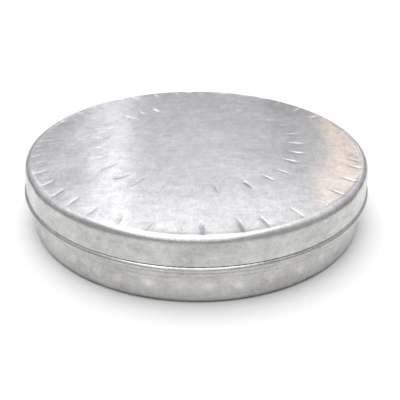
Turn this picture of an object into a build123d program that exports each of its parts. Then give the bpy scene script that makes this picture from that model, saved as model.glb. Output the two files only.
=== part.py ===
from build123d import *
import os

# A shallow round candle tin in two pieces, each pressed from one disc of sheet aluminium with no seam:
#   tin_base   the pan, with a rolled bead round its wall and an inward curl at its rim
#   slip_lid   the domed lid, whose plain-edged wall slides over the neck and comes down to the bead
# Millimetres, +Z up. The origin is the centre of the circle that the tin stands on.
# Each profile is the outer face of the sheet in the XZ plane, drawn from the axis outwards.
# An offset of one thickness then gives the sheet's inner face.

SHEET = 0.35                     # thickness of both pieces

# Driving dimensions of the lid
LID_RADIUS = 50.0                # where the domed top would meet the wall in a sharp corner
LID_CORNER_HEIGHT = 19.05        # height of that corner
LID_CROWN = 2.3                  # rise of the top from the corner to the centre
LID_CORNER_ROUNDING = 1.8
LID_EDGE_HEIGHT = 11.5           # the lid's trimmed lower edge
LID_EDGE_RADIUS = 50.5           # the wall flares a little, so that it starts easily over the neck

# Driving dimensions of the base
BODY_RADIUS = 49.4               # straight wall, which goes on above the bead as the neck
CORNER_ROUNDING = 0.6            # between the wall and the underside
STANDING_RING_WIDTH = 2.6        # flat ring that touches the table
PANEL_STEP_RUN = 1.4             # the slope between the standing ring and the panel
PANEL_LIFT = 0.8                 # the underside's panel is pressed up clear of the table
PANEL_ROUNDING = 0.6
CREASE_HEIGHT = 7.4              # fine crease that the beading roller leaves round the wall
CREASE_WIDTH = 0.7
CREASE_DEPTH = 0.12
CREASE_ROUNDING = 0.8
BEAD_RADIUS = 51.1               # the lid comes down to this bead
BEAD_THICKNESS = 1.7
BEAD_TO_LID = 0.18               # air between the bead's top and the lid's edge
BEAD_ROOT_ROUNDING = 0.3
RIM_HEIGHT = 17.9
CURL_DIAMETER = 1.6              # the rim is curled inwards and down, so no cut edge is met by a hand
SHORT_RUN = 0.1                  # straight run between the two roundings of a bead or curl

# Worked out from them
bead_top = LID_EDGE_HEIGHT - BEAD_TO_LID
bead_bottom = bead_top - BEAD_THICKNESS
bead_rounding = (BEAD_THICKNESS - SHORT_RUN) / 2
curl_rounding = (CURL_DIAMETER - SHORT_RUN) / 2
ring_outer = BODY_RADIUS - CORNER_ROUNDING
ring_inner = ring_outer - STANDING_RING_WIDTH
panel_radius = ring_inner - PANEL_STEP_RUN

os.makedirs("parts", exist_ok=True)

# Corners of the base's outer face, each with its rounding, from the panel to the curl
base_corners = [
    ((panel_radius, PANEL_LIFT), PANEL_ROUNDING),
    ((ring_inner, 0), PANEL_ROUNDING),
    ((BODY_RADIUS, 0), CORNER_ROUNDING),
    ((BODY_RADIUS, CREASE_HEIGHT - CREASE_WIDTH / 2), CREASE_ROUNDING),
    ((BODY_RADIUS - CREASE_DEPTH, CREASE_HEIGHT), CREASE_ROUNDING / 2),
    ((BODY_RADIUS, CREASE_HEIGHT + CREASE_WIDTH / 2), CREASE_ROUNDING),
    ((BODY_RADIUS, bead_bottom), BEAD_ROOT_ROUNDING),
    ((BEAD_RADIUS, bead_bottom), bead_rounding),
    ((BEAD_RADIUS, bead_top), bead_rounding),
    ((BODY_RADIUS, bead_top), BEAD_ROOT_ROUNDING),
    ((BODY_RADIUS, RIM_HEIGHT), curl_rounding),
    ((BODY_RADIUS - CURL_DIAMETER, RIM_HEIGHT), curl_rounding),
]
curl_end = (BODY_RADIUS - CURL_DIAMETER, RIM_HEIGHT - CURL_DIAMETER)

with BuildPart() as tin_base:
    with BuildSketch(Plane.XZ):
        with BuildLine():
            FilletPolyline(
                (0, PANEL_LIFT),
                *[corner for corner, rounding in base_corners],
                curl_end,
                radius=[rounding for corner, rounding in base_corners],
            )
            offset(amount=SHEET, side=Side.LEFT)
        make_face()
    revolve(axis=Axis.Z)
tin_base.part.label = "tin_base"
export_step(tin_base.part, "parts/tin_base.step")

with BuildPart() as slip_lid:
    with BuildSketch(Plane.XZ):
        with BuildLine() as lid_outline:
            top = TangentArc(
                (0, LID_CORNER_HEIGHT + LID_CROWN), (LID_RADIUS, LID_CORNER_HEIGHT), tangent=(1, 0)
            )
            Line(top @ 1, (LID_EDGE_RADIUS, LID_EDGE_HEIGHT))
            corner = lid_outline.vertices().sort_by_distance(top @ 1).first
            fillet(corner, radius=LID_CORNER_ROUNDING)
            offset(amount=SHEET, side=Side.RIGHT)
        make_face()
    revolve(axis=Axis.Z)
slip_lid.part.label = "slip_lid"
export_step(slip_lid.part, "parts/slip_lid.step")
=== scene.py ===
import cmath
import math
import random

import bmesh
import bpy
import numpy as np
from mathutils import Matrix, Vector


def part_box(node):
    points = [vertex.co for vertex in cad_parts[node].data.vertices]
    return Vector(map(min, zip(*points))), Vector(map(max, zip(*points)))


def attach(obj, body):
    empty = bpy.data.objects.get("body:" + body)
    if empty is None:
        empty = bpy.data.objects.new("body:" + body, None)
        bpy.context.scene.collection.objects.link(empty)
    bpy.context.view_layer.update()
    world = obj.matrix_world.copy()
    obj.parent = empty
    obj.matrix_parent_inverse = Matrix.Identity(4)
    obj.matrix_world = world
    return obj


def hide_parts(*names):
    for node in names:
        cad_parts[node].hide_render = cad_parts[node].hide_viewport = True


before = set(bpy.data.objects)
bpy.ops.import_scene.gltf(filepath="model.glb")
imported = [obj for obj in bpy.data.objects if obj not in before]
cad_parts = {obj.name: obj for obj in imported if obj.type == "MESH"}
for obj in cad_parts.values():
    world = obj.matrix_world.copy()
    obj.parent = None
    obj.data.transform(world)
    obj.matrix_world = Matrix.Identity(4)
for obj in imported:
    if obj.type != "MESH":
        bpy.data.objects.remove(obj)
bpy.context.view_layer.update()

# A shallow round candle tin of bare sheet aluminium, closed by a slip lid. Both pieces are built here as
# fine closed shells of one bent sheet. A section is drawn as complex numbers, radius + 1j * height, along
# the sheet's outer face with the inside of the tin on its left. The inner face lies one thickness inside.

MM = 0.001

# Sizes from the frame
lid_low, lid_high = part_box("slip_lid")
base_low, base_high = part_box("tin_base")
LID_EDGE_RADIUS = lid_high.x
LID_EDGE_HEIGHT = lid_low.z
LID_TOP = lid_high.z
BEAD_RADIUS = base_high.x
RIM_HEIGHT = base_high.z

# Sizes that the CAD model's sections have
SHEET = 0.35 * MM
LID_RADIUS = 50.0 * MM
LID_CROWN = 2.3 * MM
LID_CORNER_ROUNDING = 1.8 * MM
DOME_RADIUS = 47.0 * MM          # the mesh's rows over the dome end here and the rounded edge begins
BODY_RADIUS = 49.4 * MM
CORNER_ROUNDING = 0.6 * MM
STANDING_RING_WIDTH = 2.6 * MM
PANEL_STEP_RUN = 1.4 * MM
PANEL_LIFT = 0.8 * MM
PANEL_ROUNDING = 0.6 * MM
CREASE_HEIGHT = 7.4 * MM
CREASE_WIDTH = 0.7 * MM
CREASE_DEPTH = 0.12 * MM
CREASE_ROUNDING = 0.8 * MM
BEAD_THICKNESS = 1.7 * MM
BEAD_TO_LID = 0.18 * MM
BEAD_ROUNDING = 0.8 * MM
BEAD_ROOT_ROUNDING = 0.3 * MM
CURL_DIAMETER = 1.6 * MM
CURL_ROUNDING = 0.75 * MM

# Fineness of the mesh: points round a ring, turn between the points of an arc, and gaps between rings
FINE_RING = 1536                 # through the lid's two rings of marks
MIDDLE_RING = 768
PLAIN_RING = 384
FEWEST_POINTS = 24
ARC_STEP = math.radians(12)
SHARP_EDGE = math.radians(50)
DOME_STEP = 0.75 * MM
MARKED_DOME_STEP = 0.38 * MM     # through the two rings of marks
LID_WALL_STEP = 0.6 * MM
BASE_STEP = 0.5 * MM
PANEL_STEP = 1.4 * MM
SMALLEST_RING = 1.2 * MM         # on the lid, only the middle point follows inside this radius
PANEL_START = 1.0 * MM           # and on the base inside this one
THINNED_FROM = 20 * MM           # rings inside this radius have fewer points

# Marks pressed into the lid: narrow leaf-shaped grooves along the radius, in two rings. Each is given by
# its angle in degrees anticlockwise from +X and its strength. The rings go on evenly where nothing is listed.
OUTER_MARK_RADIUS = 46.2 * MM
OUTER_MARKS = (
    (168, 0.5), (173, 0.4), (177, 0.6), (182, 0.5), (186, 0.4), (190, 0.7), (196, 0.5), (203, 0.7),
    (212, 0.9), (220, 1.0), (228, 0.8), (237, 0.6), (247, 0.7), (256.6, 0.6), (261, 0.3), (266, 0.6),
    (272, 1.3), (283.4, 1.4), (291, 1.1), (302.6, 0.9), (313.4, 0.5), (322.6, 0.8), (333.4, 1.1),
    (343.4, 1.1), (349, 0.8), (353, 0.5),
)
INNER_MARK_RADIUS = 29.5 * MM
INNER_MARKS = (
    (0, 0.75), (13, 0.6), (26, 0.4), (85, 0.5), (103, 0.3), (118, 1.0), (128, 0.5), (139, 0.9),
    (149, 0.8), (159, 0.7), (174, 0.9), (189, 0.8), (202, 0.8), (214.5, 1.0), (229, 1.8), (239, 1.1),
    (253, 0.7), (261, 0.4), (268, 0.4), (280, 0.7), (297, 1.1), (310, 0.75), (321, 0.65), (335, 0.65),
    (347, 0.8),
)
MARK_LENGTH = 6.0 * MM
MARK_WIDTH = 1.3 * MM
MARK_DEPTH = 0.13 * MM
MARK_SLANT = 4                   # degrees off the radius on average
SLANT_SPREAD = 6                 # and how much they differ in it
MARK_SURROUND = 0.35             # share of a mark's depth by which the metal round it is drawn down
OUTER_MARKED = (42.3 * MM, 49.5 * MM)    # radii between which the fine rings run
INNER_MARKED = (25.4 * MM, 33.6 * MM)

# The lid's unevenness stays below the dome's true curve, so on average its top lies this far below it
TOP_SINK = 0.1 * MM
TOP_ENDS = (47.4 * MM, 49.2 * MM)        # the unevenness and the marks fade out between these radii
WALL_BEGINS = (49.2 * MM, 49.8 * MM)     # the painted shade on the lid's wall fades in between these

# Nicks knocked into the lid's rounded edge at the far side: angle in degrees, half width and depth
NICKS = (
    (124, 1.3 * MM, 0.5 * MM),
    (119, 0.9 * MM, 0.3 * MM),
    (94, 1.1 * MM, 0.35 * MM),
    (62, 1.2 * MM, 0.25 * MM),
)
NICK_RADIUS = 49.4 * MM
NICK_REACH = 1.2 * MM            # how far a nick reaches along the radius

# Shallow round dimples in a ring round the base's wall, given like the marks
DIMPLES = (
    (206, 0.4), (212, 0.7), (221, 0.3), (231.5, 0.7), (240.5, 0.6), (247.5, 0.5), (256.8, 1.0), (266.5, 0.5),
    (274, 0.8), (282.5, 0.9), (292, 0.3), (302, 0.8), (311, 1.0), (318.5, 0.8), (329, 0.4),
)
DIMPLE_SPACING = 10
DIMPLE_HEIGHT = 4.8 * MM
DIMPLE_WANDER = 0.25 * MM
DIMPLE_SIZE = 2.4 * MM
DIMPLE_DEPTH = 0.05 * MM

# How much painted shade darkens or painted highlight pales the metal, as a share of its colour
MARK_PAINTED_SHADE = 0.26            # painted shade in a mark of usual depth on the near side
MARK_PAINTED_HIGHLIGHT = 0.3                # painted highlight in one on the far side, where the marks catch a bright reflection
DIMPLE_PAINTED_HIGHLIGHT = 0.3              # painted highlight in a dimple of usual depth
WALL_PAINTED_SHADE = 0.1             # painted shade down the lid's wall
# Height, darkening and half width of each line of painted shade round the base: at its foot, just under the
# bead and in the crease over the bead
PAINTED_SHADE_LINES = (
    (0, 0.93, 0.7 * MM),
    (LID_EDGE_HEIGHT - BEAD_TO_LID - BEAD_THICKNESS - 0.4 * MM, 0.6, 0.5 * MM),
    (LID_EDGE_HEIGHT - BEAD_TO_LID, 0.2, 0.4 * MM),
)

# The metal's own colours and roughness; the lid's wall is a little warmer than its top by a painted
# reflection tint
LID_TOP_COLOUR = (0.6, 0.595, 0.602)
LID_WALL_COLOUR_AND_PAINTED_REFLECTION = (0.609, 0.604, 0.588)
LID_ROUGHNESS = 0.22
BASE_COLOUR = (0.545, 0.538, 0.527)
BASE_ROUGHNESS = 0.26

# The metal's patterns: size of the largest spots, how far they are drawn out along X, Y and Z, layers of
# detail, how strong the finer layers are, and the share of the colour that they add or take away
CLOUD = (12 * MM, (1.3, 1, 1), 6, 0.68, 0.3)
MOTTLE = (2.5 * MM, (1, 1.7, 1), 6, 0.8, 0.38)
STREAK_ON_TOP = (1.1 * MM, (5, 1, 1), 4, 0.75, 0.16)
STREAK_ROUND_WALL = (1.3 * MM, (6, 6, 0.6), 4, 0.75, 0.16)
SPECK = (0.6 * MM, (1, 1.7, 1), 2, 0.7, 0.21)
SCRATCH = (1.2 * MM, (9, 0.4, 1), 2, 0.5, 0.22)
SCRATCH_FROM = (0.66, 0.74)      # the noise shows as scratches above these values
LEVEL_ENOUGH = 0.6               # how level a face must be to count as the top, from 0 to 1
ANISOTROPY = 0.9
UNEVENNESS = 0.004 * MM          # height of the bumps
STREAK_BUMP = 0.12               # the streaks' share of it
ROUGHNESS_SWING = 0.05

# Camera: a little above the tin, looking down at the middle of its foot
CAMERA_ELEVATION = math.radians(29.7)
CAMERA_DISTANCE = 185.7 * MM
CAMERA_AIM = Vector((1.1, 0.0, 0.6)) * MM
CAMERA_ROLL = math.radians(0.56)
CAMERA_LENS = 53.0

# Studio: radiance by degrees above the horizon, behind and in front of the tin
BEHIND_GLOW = ((0, 0.3), (8, 0.42), (14, 0.6), (25, 0.74), (34, 0.86), (40, 1.07), (60, 1.2), (90, 1.0))
BEFORE_GLOW = ((0, 0.44), (14, 0.46), (25, 0.5), (40, 0.58), (60, 0.75), (90, 1.0))
# Upright stretches of the wall behind: edges towards +X in widths per distance, softness, how far they lean,
# height in degrees and what they do to the wall's colour
WALL_STRETCHES = (
    ((-0.195, -0.1), 0.04, 0.16, 40, (1.9, 1.9, 1.9)),
    ((-0.6, -0.31), 0.08, 0.0, 34, (0.9, 0.9, 0.9)),
    ((0.12, 0.275), 0.035, 0.0, 28, (0.7, 0.7, 0.7)),
    ((0.158, 0.265), 0.01, -0.365, 40, (2.0, 1.68, 1.38)),
)
# White sheet and softbox overhead: edges towards +X and towards +Y, in heights above the tin, and radiance
TENT = ((-0.75, 0.5), (-1.7, 1.0), 1.5)
SOFTBOX = ((-0.45, 0.3), (-0.25, 0.55), 4.5)
OPENING_SOFTNESS = 0.12
STRETCH_TOP_SOFTNESS = 6         # degrees
SIDE_SOFTNESS = 0.3              # how gradually the wall behind gives way to the room in front
NEAR_ZERO = 0.01                 # keeps a divisor above zero
BEHIND_TINT = (0.96, 0.975, 1.02)
BEFORE_TINT = (1.04, 1.03, 1.0)
FLOOR_RADIUS = 8.0
FLOOR_GREY = 0.75
FLAG_RADIUS = 95 * MM
FLAG_HEIGHT = 20 * MM
FLAG_GREY = 0.55
FLAG_POINTS = 48


# ---------------------------------------------------------------- sections

def run(start, end, step):
    """Places evenly spaced between start and end, both left out."""
    count = max(1, math.ceil(abs(end - start) / step))
    return [start + (end - start) * k / count for k in range(1, count)]


def section(start, corners, end, step):
    """(place, outward normal) along straight runs joined by arcs. corners holds (place, rounding)."""
    stops = [start, *[place for place, rounding in corners], end]
    rows = []
    here = start
    heading = (stops[1] - start) / abs(stops[1] - start)
    rows.append((start, -1j * heading))
    for i, (corner, rounding) in enumerate(corners, 1):
        onward = (stops[i + 1] - corner) / abs(stops[i + 1] - corner)
        turn = cmath.phase(onward / heading)
        reach = rounding * math.tan(abs(turn) / 2)
        arc_start = corner - heading * reach
        rows += [(place, -1j * heading) for place in run(here, arc_start, step)]
        spoke = -1j * heading * math.copysign(rounding, turn)
        count = max(2, math.ceil(abs(turn) / ARC_STEP))
        for k in range(count + 1):
            spin = cmath.exp(1j * turn * k / count)
            rows.append((arc_start - spoke + spoke * spin, -1j * heading * spin))
        here = corner + onward * reach
        heading = onward
    rows += [(place, -1j * heading) for place in run(here, end, step)]
    rows.append((end, -1j * heading))
    return rows


def ease(rows):
    """Rows of (place, normal, depth, points) in which no ring has more than twice its neighbour's points."""
    points = [row[3] for row in rows]
    for order in (range(1, len(points)), range(len(points) - 2, -1, -1)):
        step = order.step
        for k in order:
            if points[k] > 1 and points[k - step] > 1:
                points[k] = min(points[k], 2 * points[k - step])
    return [(place, normal, depth, count) for (place, normal, depth, _), count in zip(rows, points)]


def thinned(radius, points):
    """Half as many points in a ring inside the first limit, half again inside half of it, and so on."""
    limit = THINNED_FROM
    while radius < limit and points > FEWEST_POINTS:
        points //= 2
        limit /= 2
    return points


# ---------------------------------------------------------------- shells

def bridge(first, m, second, n):
    """Faces between a ring of m points from index first and a ring of n points from index second."""
    if m < n:
        return [face[::-1] for face in bridge(second, n, first, m)]
    faces = []
    for k in range(n):
        a = second + k
        b = second + (k + 1) % n
        if m == n:
            faces.append((first + k, first + (k + 1) % m, b, a))
        elif n == 1:
            faces += [(first + j, first + (j + 1) % m, second) for j in range(m)]
        else:
            left = first + 2 * k
            middle = left + 1
            right = first + (2 * k + 2) % m
            faces += [(left, middle, a), (middle, b, a), (middle, right, b)]
    return faces


def shell(name, rows, pressed):
    """A closed skin through rings of points. rows holds (place, normal, depth in the sheet, points), and
    pressed(x, y, z, up) says how far the sheet is pushed inwards at places on its outer face, and how much
    painted highlight or painted shade pales or darkens the metal there, which goes into the mesh as an
    attribute."""
    places = []
    painted_light_rings = []
    faces = []
    starts = []
    total = 0
    for place, normal, depth, count in rows:
        angle = 2 * np.pi * np.arange(count) / count
        ring = np.stack([np.cos(angle), np.sin(angle), np.ones(count)], 1)
        outer = ring * (place.real, place.real, place.imag)
        push, painted_light = pressed(*outer.T, np.full(count, normal.imag))
        places.append(outer - ring * (normal.real, normal.real, normal.imag) * (push + depth)[:, None])
        painted_light_rings.append(painted_light if depth == 0 else np.zeros(count))
        starts.append((total, count))
        total += count
    for (first, m), (second, n) in zip(starts, starts[1:]):
        faces += bridge(first, m, second, n)
    mesh = bpy.data.meshes.new(name)
    mesh.from_pydata(np.concatenate(places).tolist(), [], faces)
    bm = bmesh.new()
    bm.from_mesh(mesh)
    bmesh.ops.recalc_face_normals(bm, faces=bm.faces)
    bm.to_mesh(mesh)
    bm.free()
    mesh.attributes.new("painted_light", "FLOAT", "POINT").data.foreach_set("value", np.concatenate(painted_light_rings))
    mesh.shade_smooth()
    mesh.set_sharp_from_angle(angle=SHARP_EDGE)
    piece = bpy.data.objects.new(name, mesh)
    bpy.context.scene.collection.objects.link(piece)
    return piece


def both_faces(section_rows, outer_points, inner_points, every):
    """Rows over the sheet's outer face and back over its inner face, which keeps one row in every few."""
    outer = [(p, n, 0.0, thinned(p.real, outer_points(p))) for p, n in section_rows]
    kept = [section_rows[0], *section_rows[1:-1][::every], section_rows[-1]]
    inner = [(p, n, SHEET, thinned(p.real, inner_points)) for p, n in kept]
    return outer, inner[::-1]


# ---------------------------------------------------------------- dents

def smooth(low, high, value):
    """0 below low, 1 above high and an even curve between them."""
    t = np.clip((value - low) / (high - low), 0, 1)
    return t * t * (3 - 2 * t)


def waves(seed, count, shortest, longest, height):
    """A gently uneven surface: a function of x and y that adds up low waves in all directions."""
    draw = random.Random(seed)
    parts = []
    for _ in range(count):
        length = shortest * (longest / shortest) ** draw.random()
        heading = draw.uniform(0, 2 * math.pi)
        phase = draw.uniform(0, 2 * math.pi)
        parts.append((2 * math.pi / length, heading, phase, height * length / longest))

    def surface(x, y):
        total = np.zeros_like(x)
        for rate, heading, phase, part in parts:
            total += part * np.cos(rate * (x * math.cos(heading) + y * math.sin(heading)) + phase)
        return total

    return surface


def leaf(x, y, mark):
    """Depth of one leaf-shaped groove: pointed ends, a sharp bottom, one side steeper, and metal drawn
    down a little all round it."""
    radius, angle, slant, length, width, depth, bottom = mark
    dx = x - radius * math.cos(angle)
    dy = y - radius * math.sin(angle)
    along = dx * math.cos(angle + slant) + dy * math.sin(angle + slant)
    across = dy * math.cos(angle + slant) - dx * math.sin(angle + slant)
    reach = np.clip(1 - (2 * along / length) ** 2, 0, 1)
    side = across / (width / 2 * np.sqrt(reach) + 1e-9)
    groove = np.where(side < bottom, (1 + side) / (1 + bottom), (1 - side) / (1 - bottom))
    surround = np.exp(-((2 * along / length) ** 2 + 1.2 * (across / width) ** 2))
    return depth * (np.clip(groove, 0, 1) * reach + MARK_SURROUND * surround)


def filled(draw, listed, spacing):
    """A ring's listed (angle, strength), and more of them wherever the list leaves a gap of twice the
    spacing or more. All angles are in degrees."""
    ring = list(listed)
    for (angle, _), (onward, _) in zip(listed, [*listed[1:], (listed[0][0] + 360, 0)]):
        more = round((onward - angle) / spacing) - 1
        if (onward - angle) >= 2 * spacing:
            for k in range(1, more + 1):
                between = angle + (onward - angle) * k / (more + 1)
                ring.append((between + draw.gauss(0, 1), draw.uniform(0.4, 1.0)))
    return ring


def ring_of_marks(seed, listed, radius, wander, spacing):
    """The marks of one ring, each a little off in place, slant, size and shape."""
    draw = random.Random(seed)
    marks = []
    for angle, strength in filled(draw, listed, spacing):
        marks.append((
            radius + draw.gauss(0, wander),
            math.radians(angle),
            math.radians(draw.gauss(MARK_SLANT, SLANT_SPREAD)),
            MARK_LENGTH * strength ** 0.3 * draw.uniform(0.85, 1.15),
            MARK_WIDTH * strength ** 0.5 * draw.uniform(0.85, 1.15),
            MARK_DEPTH * strength,
            draw.uniform(0.45, 0.8),
        ))
    return marks


def ring_of_dimples(seed):
    """The base's dimples as (angle, height, radius, depth)."""
    draw = random.Random(seed)
    dimples = []
    for angle, strength in filled(draw, DIMPLES, DIMPLE_SPACING):
        height = DIMPLE_HEIGHT + draw.gauss(0, DIMPLE_WANDER)
        radius = DIMPLE_SIZE * draw.uniform(0.8, 1.2) / 2
        dimples.append((math.radians(angle), height, radius, DIMPLE_DEPTH * strength))
    return dimples


lid_marks = ring_of_marks(seed=3, listed=OUTER_MARKS, radius=OUTER_MARK_RADIUS, wander=0.3 * MM, spacing=10)
lid_marks += ring_of_marks(seed=4, listed=INNER_MARKS, radius=INNER_MARK_RADIUS, wander=0.5 * MM, spacing=12)
lid_sag = waves(seed=11, count=14, shortest=16 * MM, longest=48 * MM, height=0.045 * MM)
lid_unevenness = waves(seed=12, count=40, shortest=2.5 * MM, longest=9 * MM, height=0.003 * MM)
base_dimples = ring_of_dimples(seed=21)


def lid_pressed(x, y, z, up):
    """The lid's top is uneven and carries the rings of marks, and its rounded edge is nicked."""
    radius = np.hypot(x, y)
    on_top = 1 - smooth(*TOP_ENDS, radius)
    push = TOP_SINK + lid_sag(x, y) + lid_unevenness(x, y)
    marked = np.zeros_like(x)
    if radius[0] < TOP_ENDS[1]:
        for mark in lid_marks:
            if abs(mark[0] - radius[0]) < MARK_LENGTH:
                marked = marked + leaf(x, y, mark)
    nicked = np.zeros_like(x)
    if radius[0] > NICK_RADIUS - 3 * NICK_REACH and z[0] > LID_TOP - LID_CROWN - LID_CORNER_ROUNDING:
        for angle, half_width, depth in NICKS:
            off = (np.arctan2(y, x) - math.radians(angle)) * NICK_RADIUS / half_width
            inward = (radius - NICK_RADIUS) / NICK_REACH
            nicked = nicked + depth * np.exp(-off ** 2 - inward ** 2)
    # Painted shade darkens the marks on the near side and painted highlight pales them on the far side
    nearness = 0.5 - 0.5 * y / np.maximum(radius, MM)
    painted_light = (MARK_PAINTED_HIGHLIGHT - (MARK_PAINTED_HIGHLIGHT + MARK_PAINTED_SHADE) * nearness) * marked / MARK_DEPTH
    # Painted shade down the lid's wall
    painted_light = painted_light - WALL_PAINTED_SHADE * smooth(*WALL_BEGINS, radius)
    return (push + marked) * on_top + nicked, painted_light


def base_pressed(x, y, z, up):
    """A ring of faint dimples round the lower part of the base's wall, with painted highlight in them, and
    the lines of painted shade.
    """
    push = np.zeros_like(x)
    painted_light = np.zeros_like(x)
    # Painted shade at the foot, just under the bead and in the crease over the bead
    for height, darkening, half_width in PAINTED_SHADE_LINES:
        painted_light = painted_light - darkening * np.exp(-((z - height) / half_width) ** 2)
    if z[0] > CREASE_HEIGHT or abs(up[0]) > 0.5 or x[0] < BODY_RADIUS - CORNER_ROUNDING:
        return push, painted_light
    angle = np.arctan2(y, x)
    for centre, height, size, depth in base_dimples:
        gap = (angle - centre + math.pi) % (2 * math.pi) - math.pi
        far = ((gap * BODY_RADIUS) ** 2 + (z - height) ** 2) / size ** 2
        push = push + depth * np.exp(-far ** 1.5)
    # Painted highlight pales the dimples
    return push, painted_light + DIMPLE_PAINTED_HIGHLIGHT * push / DIMPLE_DEPTH


# ---------------------------------------------------------------- the two pieces

def is_marked(radius):
    """Whether a ring of the lid's top runs through one of the two rings of marks."""
    return any(low < radius < high for low, high in (OUTER_MARKED, INNER_MARKED))


def lid_rows():
    """From the trimmed edge up the wall, round the corner and over the dome to the middle."""
    def dome(radius):
        slope = 2 * LID_CROWN * radius / LID_RADIUS ** 2
        normal = complex(slope, 1) / abs(complex(slope, 1))
        return complex(radius, LID_TOP - LID_CROWN * (radius / LID_RADIUS) ** 2), normal

    rows = section(
        complex(LID_EDGE_RADIUS, LID_EDGE_HEIGHT),
        [(complex(LID_RADIUS, LID_TOP - LID_CROWN), LID_CORNER_ROUNDING)],
        dome(DOME_RADIUS)[0],
        LID_WALL_STEP,
    )
    radius = DOME_RADIUS
    while radius > SMALLEST_RING:
        radius -= MARKED_DOME_STEP if is_marked(radius) else DOME_STEP
        rows.append(dome(radius))
    rows.append(dome(0.0))
    return rows


def make_lid():
    """The lid's shell: its inner face from the middle out to the edge, then its outer face back."""
    rows = lid_rows()

    def points(place):
        if place.imag < LID_TOP - LID_CROWN - LID_CORNER_ROUNDING:
            return PLAIN_RING
        return FINE_RING if is_marked(place.real) else MIDDLE_RING

    outer, inner = both_faces(rows[:-1], points, PLAIN_RING, 2)
    middle, up = rows[-1]
    chain = ease([(middle, up, SHEET, 1), *inner, *outer, (middle, up, 0.0, 1)])
    return shell("lid_shell", chain, lid_pressed)


def make_base():
    """From the middle of the underside out to the wall, round the bead and up to the curled rim."""
    ring_outer = BODY_RADIUS - CORNER_ROUNDING
    ring_inner = ring_outer - STANDING_RING_WIDTH
    bead_top = LID_EDGE_HEIGHT - BEAD_TO_LID
    bead_bottom = bead_top - BEAD_THICKNESS
    curl_inner = BODY_RADIUS - CURL_DIAMETER
    corners = [
        (complex(ring_inner - PANEL_STEP_RUN, PANEL_LIFT), PANEL_ROUNDING),
        (complex(ring_inner, 0), PANEL_ROUNDING),
        (complex(BODY_RADIUS, 0), CORNER_ROUNDING),
        (complex(BODY_RADIUS, CREASE_HEIGHT - CREASE_WIDTH / 2), CREASE_ROUNDING),
        (complex(BODY_RADIUS - CREASE_DEPTH, CREASE_HEIGHT), CREASE_ROUNDING / 2),
        (complex(BODY_RADIUS, CREASE_HEIGHT + CREASE_WIDTH / 2), CREASE_ROUNDING),
        (complex(BODY_RADIUS, bead_bottom), BEAD_ROOT_ROUNDING),
        (complex(BEAD_RADIUS, bead_bottom), BEAD_ROUNDING),
        (complex(BEAD_RADIUS, bead_top), BEAD_ROUNDING),
        (complex(BODY_RADIUS, bead_top), BEAD_ROOT_ROUNDING),
        (complex(BODY_RADIUS, RIM_HEIGHT), CURL_ROUNDING),
        (complex(curl_inner, RIM_HEIGHT), CURL_ROUNDING),
    ]
    curl_end = complex(curl_inner, RIM_HEIGHT - CURL_DIAMETER)
    rows = section(complex(PANEL_START, PANEL_LIFT), corners, curl_end, BASE_STEP)
    kept = []
    for place, normal in rows:
        on_panel = place.real < ring_inner - 2 * PANEL_STEP_RUN
        if not on_panel or not kept or place.real > kept[-1][0].real + PANEL_STEP:
            kept.append((place, normal))

    def finest(place):
        return MIDDLE_RING if place.real > ring_outer and place.imag < CREASE_HEIGHT else PLAIN_RING

    outer, inner = both_faces(kept, finest, PLAIN_RING, 1)
    middle = complex(0, PANEL_LIFT)
    chain = ease([(middle, -1j, 0.0, 1), *outer, *inner, (middle, -1j, SHEET, 1)])
    return shell("base_shell", chain, base_pressed)


# ---------------------------------------------------------------- materials

# A Mix node has its own sockets for each kind of value, all with the same names, so they go by number here.

def add(tree, kind, values=None, **settings):
    """A shader node with its settings, and with each input linked to a socket or given a value."""
    made = tree.nodes.new("ShaderNode" + kind)
    for name, value in settings.items():
        setattr(made, name, value)
    for name, value in (values or {}).items():
        if isinstance(value, bpy.types.NodeSocket):
            tree.links.new(value, made.inputs[name])
        else:
            made.inputs[name].default_value = value
    return made


def spread(tree, value, low, high, to_low, to_high, curve="LINEAR"):
    """The value taken from low..high to to_low..to_high."""
    made = add(tree, "MapRange", {
        "Value": value, "From Min": low, "From Max": high, "To Min": to_low, "To Max": to_high,
    }, interpolation_type=curve)
    return made.outputs["Result"]


def maths(tree, operation, first, second=0):
    """A sum or comparison of two values, each a socket or a number."""
    made = add(tree, "Math", operation=operation)
    for socket, value in zip(made.inputs, (first, second)):
        if isinstance(value, bpy.types.NodeSocket):
            tree.links.new(value, socket)
        else:
            socket.default_value = value
    return made.outputs["Value"]


def blend_colour(tree, factor, first, second, kind="MIX"):
    """The first colour where factor is 0, and the two mixed or multiplied where it is 1."""
    made = add(tree, "Mix", {"Factor": factor, 6: first, 7: second}, data_type="RGBA", blend_type=kind)
    return made.outputs[2]


def grain(tree, place, pattern):
    """Noise for one of the metal's patterns, in the object's own coordinates."""
    size, stretch, detail, roughness, _ = pattern
    squeezed = add(tree, "Mapping", {"Vector": place, "Scale": [1 / part for part in stretch]})
    made = add(tree, "TexNoise", {
        "Vector": squeezed.outputs["Vector"], "Scale": 1 / size, "Detail": detail, "Roughness": roughness,
    })
    return made.outputs["Fac"]


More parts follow.
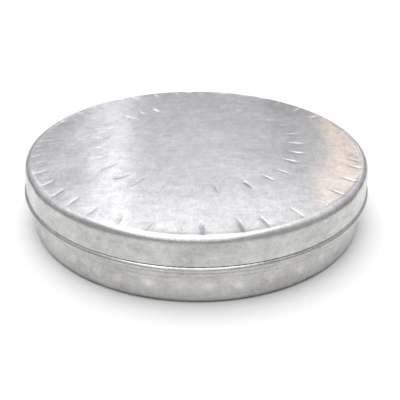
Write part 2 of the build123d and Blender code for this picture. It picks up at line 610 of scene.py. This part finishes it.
def metal(name, top, wall, rough):
    """Bare dull aluminium: cloudy, streaked along X on top and round the walls, and blurring reflections
    across those streaks more than along them. top and wall are its colours where it is level and upright;
    where they differ, the wall's colour carries a painted reflection tint. The mesh's attribute adds painted
    shade and painted highlight."""
    made = bpy.data.materials.new(name)
    made.use_nodes = True
    tree = made.node_tree
    shader = tree.nodes["Principled BSDF"]
    shader.inputs["Metallic"].default_value = 1.0
    shader.inputs["Anisotropic"].default_value = ANISOTROPY
    place = add(tree, "TexCoord").outputs["Object"]
    facing = add(tree, "TexCoord").outputs["Normal"]
    level = maths(tree, "ABSOLUTE", add(tree, "SeparateXYZ", {"Vector": facing}).outputs["Z"])
    flat = maths(tree, "GREATER_THAN", level, LEVEL_ENOUGH)
    around = add(tree, "VectorMath", {0: place, 1: (0, 0, 1)}, operation="CROSS_PRODUCT")
    lay = add(tree, "Mix", {"Factor": flat, 4: around.outputs["Vector"], 5: (1, 0, 0)}, data_type="VECTOR")
    across = add(tree, "VectorMath", {0: facing, 1: lay.outputs[1]}, operation="CROSS_PRODUCT")
    tree.links.new(across.outputs["Vector"], shader.inputs["Tangent"])
    cloud = grain(tree, place, CLOUD)
    mottle = grain(tree, place, MOTTLE)
    speck = grain(tree, place, SPECK)
    streak_top = grain(tree, place, STREAK_ON_TOP)
    streak_wall = grain(tree, place, STREAK_ROUND_WALL)
    streak = add(tree, "Mix", {"Factor": flat, 2: streak_wall, 3: streak_top}).outputs[0]
    scratch = grain(tree, place, SCRATCH)
    scratched = maths(tree, "MULTIPLY", flat, spread(tree, scratch, *SCRATCH_FROM, 0, SCRATCH[-1]))
    # The mesh's attribute adds painted shade and painted highlight to the scratches and the metal's own
    # patterns
    shade = maths(tree, "ADD", scratched, add(tree, "Attribute", attribute_name="painted_light").outputs["Fac"])
    for noise, pattern in ((cloud, CLOUD), (mottle, MOTTLE), (streak, STREAK_ON_TOP), (speck, SPECK)):
        strength = pattern[-1]
        shade = maths(tree, "ADD", shade, spread(tree, noise, 0, 1, -strength, strength))
    bright = maths(tree, "ADD", shade, 1.0)
    # A different colour on upright faces is a painted reflection tint
    plain = blend_colour(tree, flat, (*wall, 1), (*top, 1))
    colour = add(tree, "VectorMath", {0: plain, "Scale": bright}, operation="SCALE")
    tree.links.new(colour.outputs["Vector"], shader.inputs["Base Color"])
    roughness = spread(tree, cloud, 0.3, 0.7, rough + ROUGHNESS_SWING, rough - ROUGHNESS_SWING)
    tree.links.new(roughness, shader.inputs["Roughness"])
    height = maths(tree, "ADD", cloud, maths(tree, "MULTIPLY", streak, STREAK_BUMP))
    bump = add(tree, "Bump", {"Height": height, "Strength": 1.0, "Distance": UNEVENNESS})
    tree.links.new(bump.outputs["Normal"], shader.inputs["Normal"])
    return made


# ---------------------------------------------------------------- stage

def matt(name, grey, gloss):
    """Plain matt paint in one grey."""
    paint = bpy.data.materials.new(name)
    paint.use_nodes = True
    shader = paint.node_tree.nodes["Principled BSDF"]
    shader.inputs["Base Color"].default_value = (grey, grey, grey, 1)
    shader.inputs["Roughness"].default_value = 0.9
    shader.inputs["Specular IOR Level"].default_value = gloss
    return paint


def make_floor():
    """A plain pale disc, wide enough to fill the view."""
    bm = bmesh.new()
    bmesh.ops.create_circle(bm, cap_ends=True, segments=96, radius=FLOOR_RADIUS)
    mesh = bpy.data.meshes.new("floor")
    bm.to_mesh(mesh)
    bm.free()
    floor = bpy.data.objects.new("floor", mesh)
    bpy.context.scene.collection.objects.link(floor)
    mesh.materials.append(matt("floor_paint", FLOOR_GREY, 0.1))


def sine(degrees):
    """How far up the sky's sphere a height above the horizon is, from 0 to 1."""
    return math.sin(math.radians(degrees))


def glow(tree, height, tint, stops):
    """Radiance by height above the horizon, from stops of (degrees, radiance)."""
    made = add(tree, "ValToRGB", {"Fac": height})
    ramp = made.color_ramp
    while len(ramp.elements) < len(stops):
        ramp.elements.new(0.5)
    for element, (elevation, radiance) in zip(ramp.elements, stops):
        element.position = sine(elevation)
    for element, (elevation, radiance) in zip(ramp.elements, stops):
        element.color = (*[radiance * part for part in tint], 1)
    return made.outputs["Color"]


def window(tree, value, low, high, soft):
    """1 between low and high and 0 outside, with soft edges."""
    opened = spread(tree, value, low - soft, low + soft, 0, 1, "SMOOTHSTEP")
    closed = spread(tree, value, high - soft, high + soft, 1, 0, "SMOOTHSTEP")
    return maths(tree, "MULTIPLY", opened, closed)


def make_world():
    """A dim room in front, a paler wall with upright stretches behind, and a sheet and a softbox overhead.
    The camera itself sees white."""
    world = bpy.data.worlds.new("studio")
    bpy.context.scene.world = world
    world.use_nodes = True
    tree = world.node_tree
    background = tree.nodes["Background"]
    aim = add(tree, "TexCoord").outputs["Generated"]
    x, y, z = add(tree, "SeparateXYZ", {"Vector": aim}).outputs
    behind = glow(tree, z, BEHIND_TINT, BEHIND_GLOW)
    before = glow(tree, z, BEFORE_TINT, BEFORE_GLOW)
    aside = maths(tree, "DIVIDE", x, maths(tree, "MAXIMUM", y, NEAR_ZERO))
    for across, soft, lean, top, colour in WALL_STRETCHES:
        leaned = maths(tree, "ADD", aside, maths(tree, "MULTIPLY", z, lean))
        fades = (sine(top - STRETCH_TOP_SOFTNESS), sine(top + STRETCH_TOP_SOFTNESS))
        below_top = spread(tree, z, *fades, 1, 0, "SMOOTHSTEP")
        stretch = maths(tree, "MULTIPLY", window(tree, leaned, *across, soft), below_top)
        behind = blend_colour(tree, stretch, behind, (*colour, 1), "MULTIPLY")
    backward = spread(tree, y, -SIDE_SOFTNESS, SIDE_SOFTNESS, 0, 1, "SMOOTHSTEP")
    room = blend_colour(tree, backward, before, behind)
    upward = maths(tree, "MAXIMUM", z, NEAR_ZERO)
    lit = room
    for across, along, radiance in (TENT, SOFTBOX):
        in_x = window(tree, maths(tree, "DIVIDE", x, upward), *across, OPENING_SOFTNESS)
        in_y = window(tree, maths(tree, "DIVIDE", y, upward), *along, OPENING_SOFTNESS)
        opening = maths(tree, "MULTIPLY", in_x, in_y)
        lit = blend_colour(tree, opening, lit, (radiance, radiance, radiance, 1))
    watched = add(tree, "LightPath").outputs["Is Camera Ray"]
    tree.links.new(blend_colour(tree, watched, lit, (1, 1, 1, 1)), background.inputs["Color"])
    background.inputs["Strength"].default_value = 1.0


def make_flag():
    """A low grey band round the front of the tin, which only its reflections show. It draws the dark
    line along the lid's rounded edge."""
    bm = bmesh.new()
    rings = []
    for height in (0.0, FLAG_HEIGHT):
        ring = []
        for k in range(FLAG_POINTS + 1):
            angle = math.pi * (1 + k / FLAG_POINTS)
            ring.append(bm.verts.new((FLAG_RADIUS * math.cos(angle), FLAG_RADIUS * math.sin(angle), height)))
        rings.append(ring)
    low, high = rings
    for k in range(FLAG_POINTS):
        bm.faces.new((low[k], low[k + 1], high[k + 1], high[k]))
    mesh = bpy.data.meshes.new("flag")
    bm.to_mesh(mesh)
    bm.free()
    flag = bpy.data.objects.new("flag", mesh)
    bpy.context.scene.collection.objects.link(flag)
    mesh.materials.append(matt("flag_paint", FLAG_GREY, 0.5))
    flag.visible_camera = False
    flag.visible_diffuse = False
    flag.visible_shadow = False


def make_camera():
    """The camera looks along +Y and down at its aim, and is rolled a little."""
    lens = bpy.data.cameras.new("camera")
    lens.lens = CAMERA_LENS
    lens.sensor_width = 36.0
    lens.clip_start = 0.01
    lens.clip_end = 50.0
    camera = bpy.data.objects.new("camera", lens)
    back = Vector((0, -math.cos(CAMERA_ELEVATION), math.sin(CAMERA_ELEVATION)))
    tilt = Matrix.Rotation(math.pi / 2 - CAMERA_ELEVATION, 4, "X") @ Matrix.Rotation(CAMERA_ROLL, 4, "Z")
    camera.matrix_world = Matrix.Translation(CAMERA_AIM + back * CAMERA_DISTANCE) @ tilt
    bpy.context.scene.collection.objects.link(camera)
    bpy.context.scene.camera = camera


# ---------------------------------------------------------------- assembly

lid = make_lid()
lid.data.materials.append(metal("lid_metal", LID_TOP_COLOUR, LID_WALL_COLOUR_AND_PAINTED_REFLECTION, LID_ROUGHNESS))
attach(lid, "lid")
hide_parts("slip_lid")

base = make_base()
base.data.materials.append(metal("base_metal", BASE_COLOUR, BASE_COLOUR, BASE_ROUGHNESS))
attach(base, "base")
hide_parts("tin_base")

make_floor()
make_world()
make_flag()
make_camera()
bpy.context.scene.view_settings.view_transform = "Standard"
